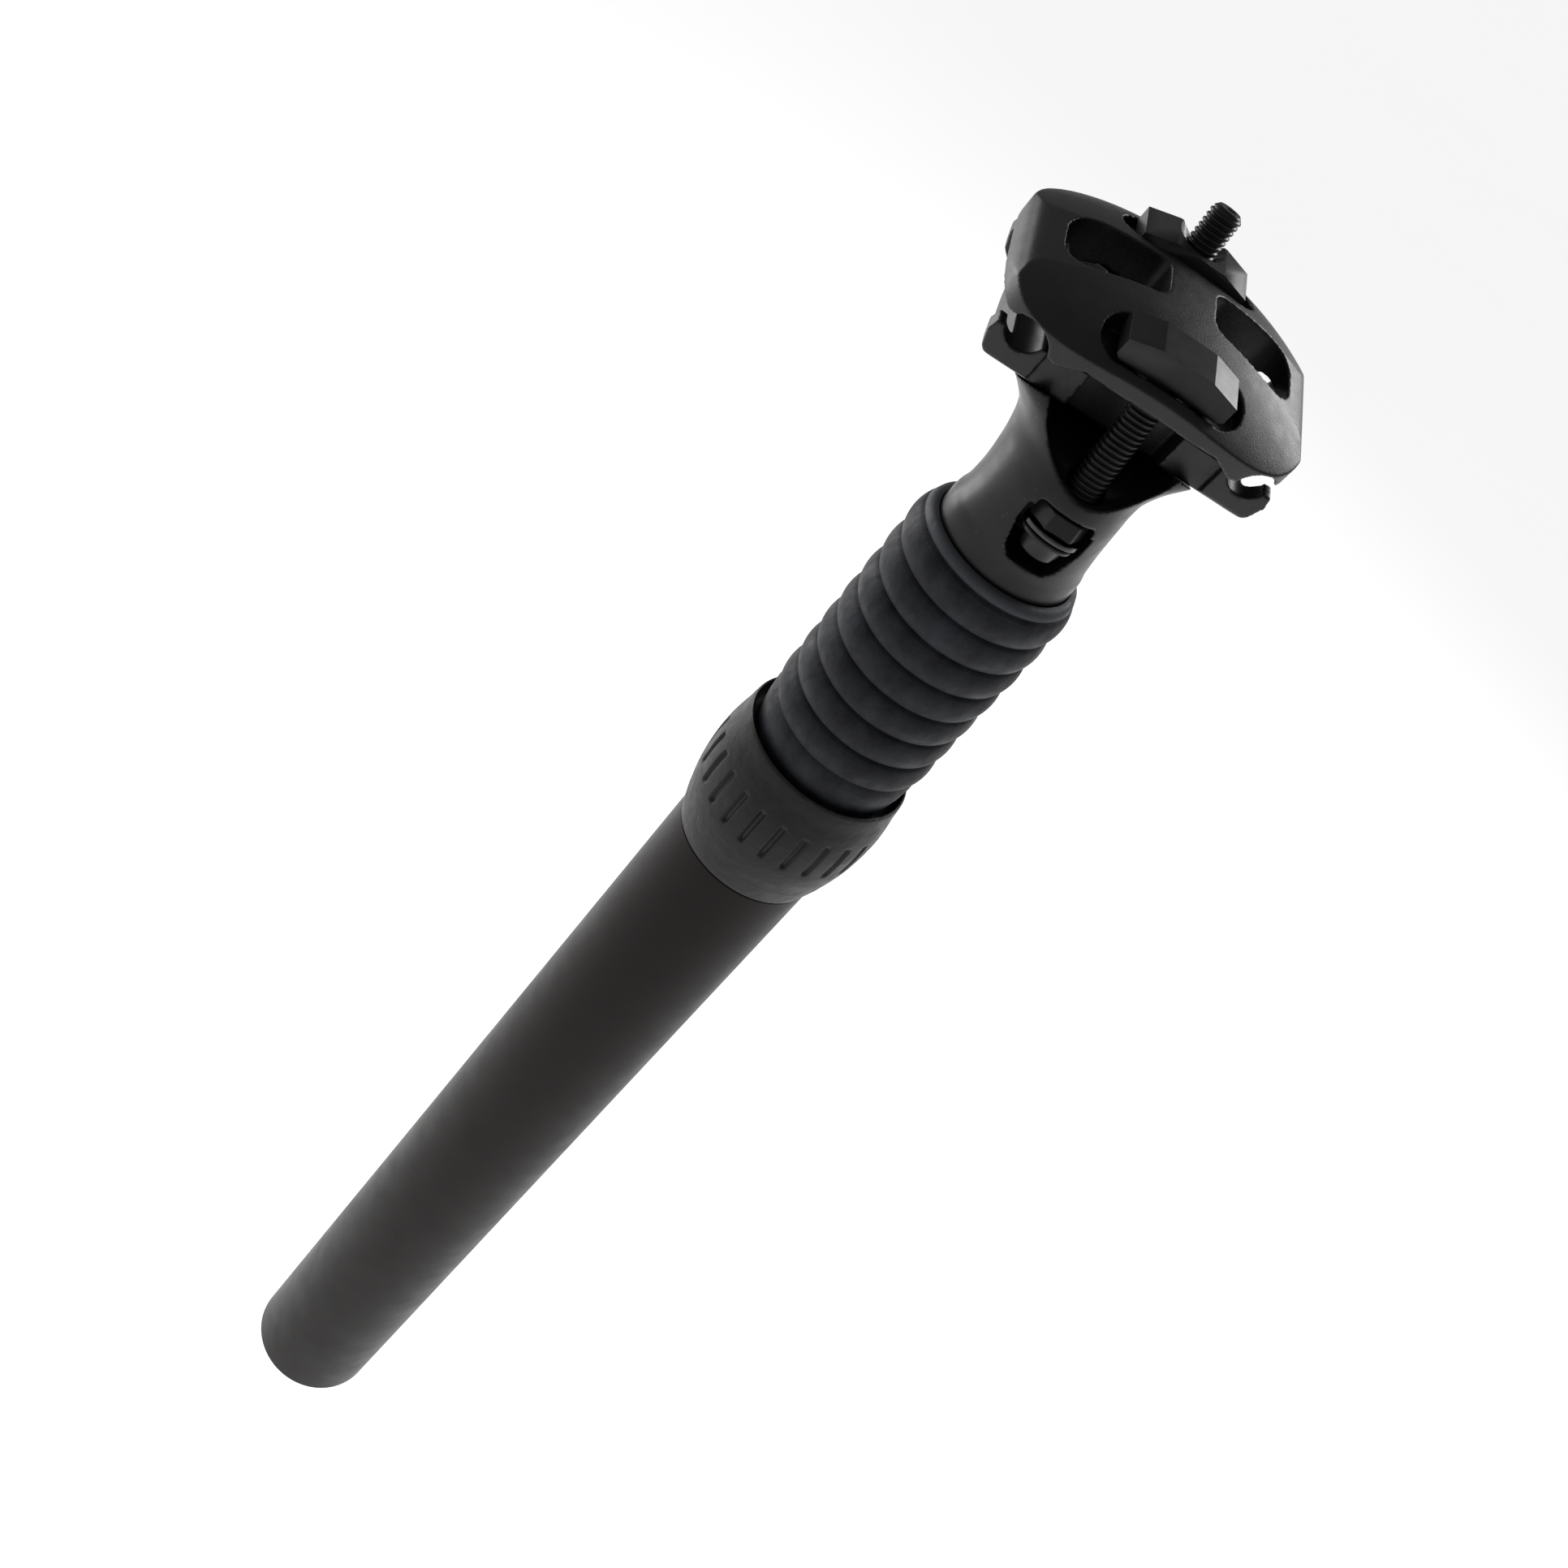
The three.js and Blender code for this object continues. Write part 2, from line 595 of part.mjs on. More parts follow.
function addSlider() {
  place('slider_shaft', sliderShaft(), 'polishedShaft');
  place('shaft_end', shaftEnd(), 'polymer');
  place('circlip', circlip(), 'steel');
  place('top_out_bumper', ring(12.7, SHAFT_R + GAP, 176, 181.6), 'rubber');
  place('head', head(), 'forged');
}

function addClamp() {
  const clamp = new THREE.Group();
  clamp.position.set(0, CLAMP_Y, CLAMP_Z);
  clamp.rotation.x = CLAMP_TILT;
  seatpost.add(clamp);
  place('lower_cradle', lowerCradle(), 'clampBlack', clamp);
  place('top_clamp', topClamp(), 'clampBlack', clamp);
  for (const [name, side] of [['front', -1], ['rear', 1]]) {
    place(`${name}_nut`, wedgeNut(side), 'oxide', clamp).position.set(0, side * SLOT_Y, SEAT_HEIGHT);
  }
}

function addBolts() {
  const bolts = [['front', -1, FRONT_SEAT_Z, FRONT_TIP_Z], ['rear', 1, REAR_SEAT_Z, REAR_TIP_Z]];
  for (const [name, side, seatZ, tipZ] of bolts) {
    const axis = new THREE.Group();
    axis.position.copy(boltPoint(side, seatZ - GAP));
    axis.rotation.x = -lean(side);
    seatpost.add(axis);
    const length = (tipZ - seatZ + GAP) / Math.cos(lean(side));
    place(`${name}_bolt`, clampBolt(length), 'oxide', axis);
    place(`${name}_washer`, washer(), 'steel', axis);
  }
}

addOuterTube();
addSpringStack();
addSlider();
addClamp();
addBolts();

export default seatpost;
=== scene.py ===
"""Looks of the suspension seatpost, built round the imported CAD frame.

Lengths are in millimetres, which MM turns into Blender's metres. The stage is in metres.
"""

import json
import math

import bpy
from mathutils import Matrix, Vector


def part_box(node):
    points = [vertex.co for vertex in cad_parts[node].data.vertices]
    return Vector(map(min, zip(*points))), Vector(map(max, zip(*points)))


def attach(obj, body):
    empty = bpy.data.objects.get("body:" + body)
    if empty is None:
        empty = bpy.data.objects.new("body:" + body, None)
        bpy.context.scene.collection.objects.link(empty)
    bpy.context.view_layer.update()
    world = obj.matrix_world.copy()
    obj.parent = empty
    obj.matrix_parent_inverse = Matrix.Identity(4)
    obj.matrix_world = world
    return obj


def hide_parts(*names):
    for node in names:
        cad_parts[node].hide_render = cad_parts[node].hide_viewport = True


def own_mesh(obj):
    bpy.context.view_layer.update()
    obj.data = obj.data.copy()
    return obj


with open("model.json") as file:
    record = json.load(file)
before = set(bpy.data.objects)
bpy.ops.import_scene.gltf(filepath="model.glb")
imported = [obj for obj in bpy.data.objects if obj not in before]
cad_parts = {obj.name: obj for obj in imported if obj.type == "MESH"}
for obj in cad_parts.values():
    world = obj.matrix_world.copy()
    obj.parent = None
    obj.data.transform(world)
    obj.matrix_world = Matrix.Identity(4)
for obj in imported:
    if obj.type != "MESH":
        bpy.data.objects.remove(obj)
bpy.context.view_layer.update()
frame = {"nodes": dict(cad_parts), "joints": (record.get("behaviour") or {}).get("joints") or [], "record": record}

MM = 0.001
JOINTS = {joint["name"]: joint for joint in frame["joints"]}
MOUNTS = {mount["name"]: mount for mount in frame["record"]["mounts"]}
ROUND = 160  # segments round a large turned piece


def low_high(node):
    """A CAD node's lowest and highest corner, in millimetres."""
    low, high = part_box(node)
    return low / MM, high / MM


# ---------- sizes taken from the frame ----------

TUBE_HIGH = low_high("lower_tube")[1]
TUBE_R = TUBE_HIGH.x
COLLAR_LOW, COLLAR_HIGH = low_high("collar")
BELLOWS_LOW, BELLOWS_HIGH = low_high("bellows")
SHAFT_R = low_high("slider_shaft")[1].x
HEAD_LOW = low_high("head")[0]
REAR_TIP_Z = low_high("rear_bolt")[1].z

# The rails' seats give the clamp's tilt and its frame's origin between the rails.
RAIL_SEAT = MOUNTS["rail_seat_right"]
CLAMP_TILT = math.asin(-RAIL_SEAT["axis"][1])
RAIL_X = RAIL_SEAT["pos_m"][0] / MM
RAIL_GROOVE_R = 3.65
SEAT_DEPTH = 3.625
CLAMP_ORIGIN = Vector((0, *RAIL_SEAT["pos_m"][1:])) / MM + SEAT_DEPTH * Vector(RAIL_SEAT["axis"])
CLAMP = Matrix.Translation(CLAMP_ORIGIN) @ Matrix.Rotation(CLAMP_TILT, 4, "X")

TROUGH = Vector(JOINTS["clamp_tilt"]["pos_m"]) / MM
TROUGH_R = 27.6
GAP = 0.3  # between pieces that touch

# Clamp features, in the clamp's frame.
SLOT_Y = 15.6
SLOT_HALF_LENGTH = 13.5
SLOT_HALF_WIDTH = 4.9
SLOT_FLOOR = 5.6
NUT_Z = 9.2
NUT_HALF_LENGTH = 10.3
NUT_HALF_WIDTH = 4.1
BOLT_PASSAGE_R = 3.85
CLAMP_CROWN = 11.4
CRADLE_HALF_LENGTH = 16.3

BOLT_R = 2.9
BOLT_PITCH = 1.0
HEX_R = 5.0
HEX_HEIGHT = 3.4
BOLT_HEAD_HEIGHT = 8.8
FLANGE_R = 4.8
KEY_R = 2
WASHER_R = 5.2
WASHER_HEIGHT = 0.9
FRONT_TIP_Z = 363.0


# ---------- mesh helpers ----------

def add_object(name, mesh):
    piece = bpy.data.objects.new(name, mesh)
    bpy.context.scene.collection.objects.link(piece)
    return piece


def full_turn(count):
    """Evenly spaced angles round a full turn."""
    return [2 * math.pi * k / count for k in range(count)]


def solid(name, points, faces):
    """A mesh object from points in millimetres."""
    mesh = bpy.data.meshes.new(name)
    mesh.from_pydata([Vector(point) * MM for point in points], [], faces)
    mesh.validate()
    return add_object(name, mesh)


def skin(name, rings):
    """A closed solid from rings of points, stacked and capped at both ends."""
    count = len(rings[0])
    points = [point for ring in rings for point in ring]
    faces = []
    for level in range(len(rings) - 1):
        for i in range(count):
            a = level * count + i
            b = level * count + (i + 1) % count
            faces.append((a, b, b + count, a + count))
    last = (len(rings) - 1) * count
    faces.append(tuple(reversed(range(count))))
    faces.append(tuple(last + i for i in range(count)))
    return solid(name, points, faces)


def revolve(name, profile, segments=ROUND, shape=None):
    """Turns a closed profile of (radius, z) about Z. shape(radius, z, angle) may change the radius."""
    points, faces = [], []
    count = len(profile)
    for angle in full_turn(segments):
        for radius, z in profile:
            r = shape(radius, z, angle) if shape else radius
            points.append((r * math.cos(angle), r * math.sin(angle), z))
    for k in range(segments):
        here = k * count
        there = ((k + 1) % segments) * count
        for i in range(count):
            j = (i + 1) % count
            faces.append((here + i, there + i, there + j, here + j))
    return solid(name, points, faces)


def fillet(points, cut, steps=4):
    """A closed outline with its corners rounded over cut on each side."""
    made = []
    for i, point in enumerate(points):
        p = Vector(point)
        a = Vector(points[i - 1]) - p
        b = Vector(points[(i + 1) % len(points)]) - p
        reach_a = min(cut, 0.45 * a.length)
        reach_b = min(cut, 0.45 * b.length)
        start = p + a.normalized() * reach_a
        end = p + b.normalized() * reach_b
        for k in range(steps + 1):
            t = k / steps
            made.append(tuple(start * (1 - t) ** 2 + p * 2 * t * (1 - t) + end * t * t))
    return made


def smooth_line(points, steps=6):
    """A Catmull-Rom curve through points of any dimension."""
    made = []
    for i in range(len(points) - 1):
        p0 = Vector(points[max(i - 1, 0)])
        p1 = Vector(points[i])
        p2 = Vector(points[i + 1])
        p3 = Vector(points[min(i + 2, len(points) - 1)])
        for k in range(steps):
            t = k / steps
            made.append(tuple(0.5 * (2 * p1 + (p2 - p0) * t + (2 * p0 - 5 * p1 + 4 * p2 - p3) * t * t
                                     + (3 * p1 - p0 - 3 * p2 + p3) * t ** 3)))
    made.append(tuple(points[-1]))
    return made


def mirrored(points):
    """A right-hand half outline that starts and ends in the middle, closed by its mirror image."""
    return list(points) + [(-x, y) for x, y in reversed(points) if abs(x) > 1e-6]


def arc(x, y, radius, start, end, steps):
    angles = [math.radians(start + (end - start) * k / steps) for k in range(steps + 1)]
    return [(x + radius * math.cos(a), y + radius * math.sin(a)) for a in angles]


def prism(outline, axis, low, high):
    """Extrudes an outline along X (outline in YZ), Y (in XZ) or Z (in XY)."""
    place = {
        "X": lambda u, v, w: (w, u, v),
        "Y": lambda u, v, w: (u, w, v),
        "Z": lambda u, v, w: (u, v, w),
    }[axis]
    rings = [[place(u, v, w) for u, v in outline] for w in (low, high)]
    return skin("prism", rings)


def block(x, y, z):
    """A box between two limits on each axis."""
    return prism([(x[0], y[0]), (x[1], y[0]), (x[1], y[1]), (x[0], y[1])], "Z", *z)


def rod(radius, low, high, segments=64, turn=0.0):
    ring = [(radius * math.cos(turn + a), radius * math.sin(turn + a)) for a in full_turn(segments)]
    return prism(ring, "Z", low, high)


def cylinder_steps(steps, segments=64):
    """A turned solid on the Z axis through (radius, z) steps."""
    angles = full_turn(segments)
    return skin("turned", [[(r * math.cos(a), r * math.sin(a), z) for a in angles] for r, z in steps])


def cross_rod(radius, half_length, centre):
    ring = arc(centre.y, centre.z, radius, 0, 358, 179)
    return prism(ring, "X", -half_length, half_length)


def moved(piece, matrix):
    """Moves a piece's mesh by a matrix whose lengths are millimetres."""
    place = matrix.copy()
    place.translation = place.translation * MM
    piece.data.transform(place)
    return piece


def baked(piece):
    """Applies the piece's modifiers."""
    graph = bpy.context.evaluated_depsgraph_get()
    mesh = bpy.data.meshes.new_from_object(piece.evaluated_get(graph))
    piece.modifiers.clear()
    piece.data = mesh
    return piece


def face_out(piece):
    """Turns the piece's faces outward."""
    mesh = piece.data
    volume = 0.0
    for polygon in mesh.polygons:
        corners = [mesh.vertices[i].co for i in polygon.vertices]
        for i in range(1, len(corners) - 1):
            volume += corners[0].dot(corners[i].cross(corners[i + 1]))
    if volume < 0:
        mesh.flip_normals()
    return piece


def boolean(base, operation, tools):
    for tool in tools:
        face_out(tool)
        modifier = face_out(base).modifiers.new("cut", "BOOLEAN")
        modifier.operation = operation
        modifier.solver = "MANIFOLD"
        modifier.object = tool
        baked(base)
        bpy.data.objects.remove(tool)
    return base


def cut(base, *tools):
    return boolean(base, "DIFFERENCE", tools)


def common(base, *tools):
    return boolean(base, "INTERSECT", tools)


def join(base, *tools):
    return boolean(base, "UNION", tools)


def forged(piece, voxel, rounds):
    """Remeshes a carved solid finely and softens its edges, as forging and tumbling do."""
    remesh = piece.modifiers.new("remesh", "REMESH")
    remesh.mode = "VOXEL"
    remesh.voxel_size = voxel * MM
    soften = piece.modifiers.new("soften", "SMOOTH")
    soften.factor = 0.5
    soften.iterations = rounds
    return shaded(baked(piece))


def bevelled(piece, width, segments=3):
    bevel = shaded(piece).modifiers.new("bevel", "BEVEL")
    bevel.width = width * MM
    bevel.segments = segments
    bevel.limit_method = "ANGLE"
    bevel.angle_limit = math.radians(10)
    return flat_faced(piece)


def flat_faced(piece):
    """Lets a piece's large faces look flat while its small ones blend between them."""
    shaded(piece).modifiers.new("normals", "WEIGHTED_NORMAL").weight = 100
    return baked(piece)


def shaded(piece, angle=None):
    """Smooth shading, with edges sharper than angle degrees left crisp."""
    mesh = piece.data
    mesh.polygons.foreach_set("use_smooth", [True] * len(mesh.polygons))
    if angle:
        mesh.set_sharp_from_angle(angle=math.radians(angle))
    return piece


def finished(piece, name, body, slot, *nodes):
    """Names a piece, gives it its slot's finish and its body, and hides the CAD nodes it stands for."""
    piece.name = name
    face_out(piece)
    piece.data.materials.clear()
    piece.data.materials.append(FINISH[slot])
    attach(piece, body)
    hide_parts(*nodes)
    return piece


# ---------- materials ----------

class Shader:
    """A node material with a Principled shader and short calls for its procedural detail."""

    def __init__(self, name, **sockets):
        self.material = bpy.data.materials.new(name)
        self.material.use_nodes = True
        self.nodes = self.material.node_tree.nodes
        self.links = self.material.node_tree.links
        self.principled = self.nodes["Principled BSDF"]
        for socket, value in sockets.items():
            self.principled.inputs[socket.replace("_", " ")].default_value = value
        self.place = self.nodes.new("ShaderNodeTexCoord").outputs["Object"]

    def noise(self, size, detail=3.0, roughness=0.5, stretch=(1, 1, 1)):
        """Noise whose features are about size millimetres."""
        mapping = self.nodes.new("ShaderNodeMapping")
        mapping.inputs["Scale"].default_value = stretch
        self.links.new(self.place, mapping.inputs["Vector"])
        texture = self.nodes.new("ShaderNodeTexNoise")
        texture.inputs["Scale"].default_value = 1 / (size * MM)
        texture.inputs["Detail"].default_value = detail
        texture.inputs["Roughness"].default_value = roughness
        self.links.new(mapping.outputs["Vector"], texture.inputs["Vector"])
        return texture.outputs["Fac"]

    def ramp(self, value, stops):
        """A colour ramp from (position, colour) stops; a number stands for a grey."""
        node = self.nodes.new("ShaderNodeValToRGB")
        elements = node.color_ramp.elements
        while len(elements) < len(stops):
            elements.new(0.5)
        for element, (position, colour) in zip(elements, stops):
            element.position = position
            grey = isinstance(colour, (int, float))
            element.color = (colour, colour, colour, 1) if grey else (*colour, 1)
        self.links.new(value, node.inputs["Fac"])
        return node.outputs["Color"]

    def multiply(self, a, b):
        node = self.nodes.new("ShaderNodeMix")
        node.data_type = "RGBA"
        node.blend_type = "MULTIPLY"
        node.inputs["Factor"].default_value = 1.0
        self.links.new(a, node.inputs["A"])
        self.links.new(b, node.inputs["B"])
        return node.outputs["Result"]

    def colour(self, value):
        self.links.new(value, self.principled.inputs["Base Color"])

    def roughness(self, value):
        self.links.new(value, self.principled.inputs["Roughness"])

    def bump(self, heights):
        """Adds (height output, depth in millimetres) bumps one on another."""
        normal = None
        for height, depth in heights:
            node = self.nodes.new("ShaderNodeBump")
            node.inputs["Distance"].default_value = depth * MM
            node.inputs["Strength"].default_value = 1.0
            self.links.new(height, node.inputs["Height"])
            if normal:
                self.links.new(normal, node.inputs["Normal"])
            normal = node.outputs["Normal"]
        self.links.new(normal, self.principled.inputs["Normal"])

    def painted_edge_highlight(self, base, bright, spread=0.06):
        """Mixes a paler colour in along convex edges: a painted highlight standing in for light caught on the
        bevels.
        """
        geometry = self.nodes.new("ShaderNodeNewGeometry")
        mask = self.ramp(geometry.outputs["Pointiness"], [(0.5 + spread, 0.0), (0.5 + 3 * spread, 1.0)])
        node = self.nodes.new("ShaderNodeMix")
        node.data_type = "RGBA"
        node.inputs["B"].default_value = (*bright, 1)
        self.links.new(mask, node.inputs["Factor"])
        self.links.new(base, node.inputs["A"])
        return node.outputs["Result"]


def anodised_tube():
    made = Shader("anodised_tube", Metallic=0.0, Specular_IOR_Level=0.15)
    cloud = made.noise(30, 3)
    made.colour(made.ramp(cloud, [(0.3, (0.0088, 0.0058, 0.0050)), (0.7, (0.0120, 0.0082, 0.0072))]))
    made.roughness(made.ramp(made.noise(6, 4), [(0.3, 0.36), (0.7, 0.44)]))
    drawn = made.noise(0.5, 3, stretch=(1, 1, 0.02))
    made.bump([(made.noise(0.12, 2), 0.004), (drawn, 0.003)])
    return made.material


def grained_collar():
    made = Shader("anodised_collar", Metallic=0.0, Specular_IOR_Level=0.2)
    cloud = made.noise(5, 4, 0.6)
    base = made.ramp(cloud, [(0.3, (0.0085, 0.0072, 0.0074)), (0.7, (0.021, 0.0185, 0.019))])
    # The paler colour along the collar's convex edges and notches is a painted highlight.
    made.colour(made.painted_edge_highlight(base, (0.06, 0.058, 0.06)))
    made.roughness(made.ramp(made.noise(2.5, 4), [(0.3, 0.36), (0.7, 0.5)]))
    made.bump([(made.noise(0.35, 4, 0.65), 0.05), (made.noise(2.2, 2), 0.12)])
    return made.material


def forged_black(name, base, grain, rough, specular):
    """Satin black on a forging. base is (dark, light) colours, grain the blast texture's depth."""
    made = Shader(name, Metallic=0.0, Specular_IOR_Level=specular)
    cloud = made.noise(9, 3)
    colour = made.ramp(cloud, [(0.3, base[0]), (0.7, base[1])])
    # The paler colour along convex edges is a painted highlight on the forging's bevels.
    made.colour(made.painted_edge_highlight(colour, (0.03, 0.03, 0.0315)))
    made.roughness(made.ramp(made.noise(3, 4), [(0.3, rough - 0.05), (0.7, rough + 0.05)]))
    made.bump([(made.noise(0.26, 3), grain), (made.noise(4, 2), 0.03)])
    return made.material


def black_oxide():
    made = Shader("black_oxide", Metallic=0.0, Specular_IOR_Level=0.26)
    base = made.ramp(made.noise(2.5, 4), [(0.3, (0.006, 0.006, 0.0065)), (0.7, (0.012, 0.012, 0.0125))])
    # The paler colour along convex edges is a painted highlight on the nuts' and bolts' bevels.
    made.colour(made.painted_edge_highlight(base, (0.03, 0.03, 0.032), 0.03))
    made.roughness(made.ramp(made.noise(2, 1), [(0.3, 0.29), (0.7, 0.33)]))
    made.bump([(made.noise(0.6, 1), 0.0008)])
    return made.material


def bellows_rubber():
    made = Shader("bellows_rubber", Metallic=0.0, Specular_IOR_Level=0.15)
    dust = made.ramp(made.noise(5, 5, 0.65, stretch=(1, 1, 0.6)), [(0.35, 0.4), (0.65, 1.0)])
    base = made.ramp(made.noise(14, 3), [(0.3, (0.019, 0.0205, 0.025)), (0.7, (0.034, 0.036, 0.044))])
    # The paler colour along the convex fold crests is a painted highlight; the dust mottling multiplied in is the
    # rubber's own.
    made.colour(made.painted_edge_highlight(made.multiply(base, dust), (0.075, 0.078, 0.088), 0.012))
    made.roughness(made.ramp(made.noise(4, 5, 0.6), [(0.3, 0.42), (0.7, 0.62)]))
    made.bump([(made.noise(1.6, 4, 0.6), 0.09), (made.noise(6, 2), 0.25)])
    return made.material


def plain(name, dark, light, rough, metallic=0.0, size=3.0, grain=0.2, depth=0.01, stretch=(1, 1, 1)):
    """A simpler finish for small or hidden pieces, still with its own mottling and grain."""
    made = Shader(name, Metallic=metallic)
    made.colour(made.ramp(made.noise(size, 4), [(0.3, dark), (0.7, light)]))
    made.roughness(made.ramp(made.noise(size / 2, 3), [(0.3, rough - 0.06), (0.7, rough + 0.06)]))
    made.bump([(made.noise(grain, 3, stretch=stretch), depth)])
    return made.material


HEAD_BLACK = (0.008, 0.008, 0.0083), (0.012, 0.012, 0.0125)
CLAMP_BLACK = (0.010, 0.0097, 0.0103), (0.016, 0.0155, 0.0165)
DRAWN = (1, 1, 0.05)

FINISH = {
    "anodised_tube": anodised_tube(),
    "anodised_collar": grained_collar(),
    "forged_head": forged_black("forged_head", HEAD_BLACK, grain=0.008, rough=0.32, specular=0.26),
    "clamp_black": forged_black("clamp_black", CLAMP_BLACK, grain=0.03, rough=0.40, specular=0.4),
    "black_oxide": black_oxide(),
    "bellows_rubber": bellows_rubber(),
    "washer_steel": plain("washer_steel", (0.05, 0.05, 0.052), (0.09, 0.09, 0.092), 0.22, 1.0),
    "spring_steel": plain("spring_steel", (0.42, 0.43, 0.45), (0.55, 0.56, 0.58), 0.3, 1.0),
    "shaft_polished": plain("shaft_polished", (0.4, 0.41, 0.43), (0.5, 0.51, 0.53), 0.18, 1.0, stretch=DRAWN),
    "seal_rubber": plain("seal_rubber", (0.02, 0.02, 0.02), (0.035, 0.035, 0.037), 0.6, depth=0.03),
    "elastomer_red": plain("elastomer_red", (0.35, 0.05, 0.04), (0.48, 0.08, 0.06), 0.6, depth=0.04),
    "bushing_polymer": plain("bushing_polymer", (0.66, 0.62, 0.52), (0.75, 0.71, 0.61), 0.5, depth=0.015),
    "key_brass": plain("key_brass", (0.55, 0.4, 0.17), (0.68, 0.5, 0.24), 0.3, 1.0, stretch=(1, 1, 0.1)),
}


# ---------- outer tube ----------

def lower_tube():
    bore = 13.2
    neck = 14.9
    shoulder = COLLAR_LOW.z - GAP
    profile = [
        (bore, 0.4), (bore + 0.4, 0), (TUBE_R - 0.8, 0), (TUBE_R, 0.8), (TUBE_R, shoulder), (neck, shoulder),
        (neck, TUBE_HIGH.z), (bore, TUBE_HIGH.z),
    ]
    piece = shaded(revolve("tube", fillet(profile, 0.3)), 40)
    finished(piece, "post_tube", "outer_tube", "anodised_tube", "lower_tube")


def collar():
    """The ring nut: a cone foot, a grained belly with cut notches, a plain rim and a cup for the bellows."""
    top = COLLAR_HIGH.z
    outside = smooth_line([
        (16.92, 236.2), (17.6, 239.2), (18.15, 242.4), (18.45, 245.6), (18.6, 249), (18.5, 252.2),
        (18.2, 255), (17.8, 257.6), (17.6, 259.6), (17.45, top - 0.5),
    ], 8)
    rim = [(17.2, top), (16.95, top), (16.75, top - 0.3)]
    inside = [(16.75, 257.3), (16.45, 257), (12.2, 257), (12.2, 255), (15.2, 255), (15.2, COLLAR_LOW.z)]
    profile = [(TUBE_R + 0.1, COLLAR_LOW.z), (16.85, 235.8), *outside, *rim, *inside]
    notch_count = 24
    notch_low, notch_high = 244.2, 253.4
    notch_depth, notch_half = 0.6, 0.85

    def notched(radius, z, angle):
        if radius < 17 or not notch_low < z < notch_high:
            return radius
        step = 2 * math.pi / notch_count
        nearest = (angle / step - 0.5) % 1.0
        away = abs(min(nearest, 1 - nearest)) * step * radius
        end = min(z - notch_low, notch_high - z)
        across = max(0.0, 1 - away / notch_half)
        return radius - notch_depth * min(1.0, 1.6 * across) * min(1.0, end / 0.7)

    piece = shaded(revolve("collar", profile, 720, notched), 35)
    finished(piece, "screw_collar", "outer_tube", "anodised_collar", "collar")


def bellows():
    """The boot: soft convex folds that meet in narrow valleys, and a rounded foot inside the collar's cup."""
    low, high = BELLOWS_LOW.z, BELLOWS_HIGH.z
    pitch, folds, first = 6.75, 7, 271.5
    ridge, valley = 16.75, 15.6
    outside = [(15.0, low + 0.2), (15.35, low + 2), (15.5, 261), (15.9, 263.5), (16.2, 266.6)]
    start = first - pitch / 2
    steps = 18
    for i in range(folds * steps + 1):
        t = (i / steps) % 1.0
        bulge = math.sin(math.pi * t) ** 0.55
        outside.append((valley + (ridge - valley) * bulge, start + pitch * i / steps))
    outside += [(15.75, high - 1.6), (15.3, high - 0.5), (14.6, high)]
    inside = [(13.9, high), (13.9, 306), (14.2, 303), (14.2, low)]

    def uneven(radius, z, angle):
        if radius < 15.2:
            return radius
        return radius + 0.07 * math.sin(2 * angle + z / 9) + 0.05 * math.sin(3 * angle - z / 5)

    piece = shaded(revolve("bellows", outside + inside, 192, uneven), 60)
    finished(piece, "bellows_boot", "outer_tube", "bellows_rubber", "bellows")
    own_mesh(piece)


def main_spring():
    """The coil spring, a fine tube round the CAD spring's own helix."""
    low, high = low_high("main_spring")
    wire_r, turns = 1.5, 9
    shown_r = wire_r * 0.97
    coil_r = high.x - wire_r
    rise = high.z - low.z - 2 * wire_r
    steps = turns * 40
    up = Vector((0, 0, 1))
    rings = []
    for i in range(steps + 1):
        angle = 2 * math.pi * turns * i / steps
        out = Vector((math.cos(angle), math.sin(angle), 0))
        z = low.z + wire_r + rise * i / steps
        centre = Vector((coil_r * math.cos(angle), coil_r * math.sin(angle), z))
        rings.append([centre + shown_r * (out * math.cos(b) + up * math.sin(b)) for b in full_turn(16)])
    piece = shaded(skin("spring", rings), 50)
    finished(piece, "coil_spring", "preload_carrier", "spring_steel", "main_spring")
    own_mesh(piece)


# ---------- head ----------

def bolt_axis(joint):
    """Where a bolt's seat is and the way it leans."""
    return Vector(JOINTS[joint]["pos_m"]) / MM, Vector(JOINTS[joint]["axis"]).normalized()


def bolt_place(joint):
    """The bolt's own frame: origin at its hex's top, Z along the bolt."""
    seat, axis = bolt_axis(joint)
    lean = math.atan2(axis.y, axis.z)
    foot = seat - Vector((0, math.tan(lean), 1)) * GAP
    return Matrix.Translation(foot) @ Matrix.Rotation(-lean, 4, "X")


def bolt_tool(joint, radius, low, high):
    """A rod along a bolt's axis between two heights."""
    seat, axis = bolt_axis(joint)
    lean = math.atan2(axis.y, axis.z)
    foot = seat + Vector((0, math.tan(lean), 1)) * (low - seat.z)
    length = (high - low) / math.cos(lean)
    return moved(rod(radius, 0, length), Matrix.Translation(foot) @ Matrix.Rotation(-lean, 4, "X"))


# Sections of the head up its height: z, half width, front, back, squareness of the back half.
HEAD_SECTIONS = [
    (302, 13.6, -13.6, 13.6, 2), (311, 13.6, -13.6, 13.6, 2), (320, 13.6, -13.6, 13.6, 2),
    (323, 12.9, -14, 13.6, 2), (327, 12.4, -14.8, 14.6, 2.1), (331, 12.3, -15.3, 16.5, 2.2),
    (334, 12.4, -15.6, 18.5, 2.3), (337, 12.8, -15.6, 21, 2.5), (340, 14.2, -15.2, 24.5, 2.7),
    (343, 17.8, -14.4, 28.5, 2.9), (346, 23.4, -12.6, 32.5, 3), (349, 25.8, -11, 34.5, 3),
    (353, 26.4, -9.6, 35.2, 3), (356, 26.4, -9.6, 35.2, 3),
]


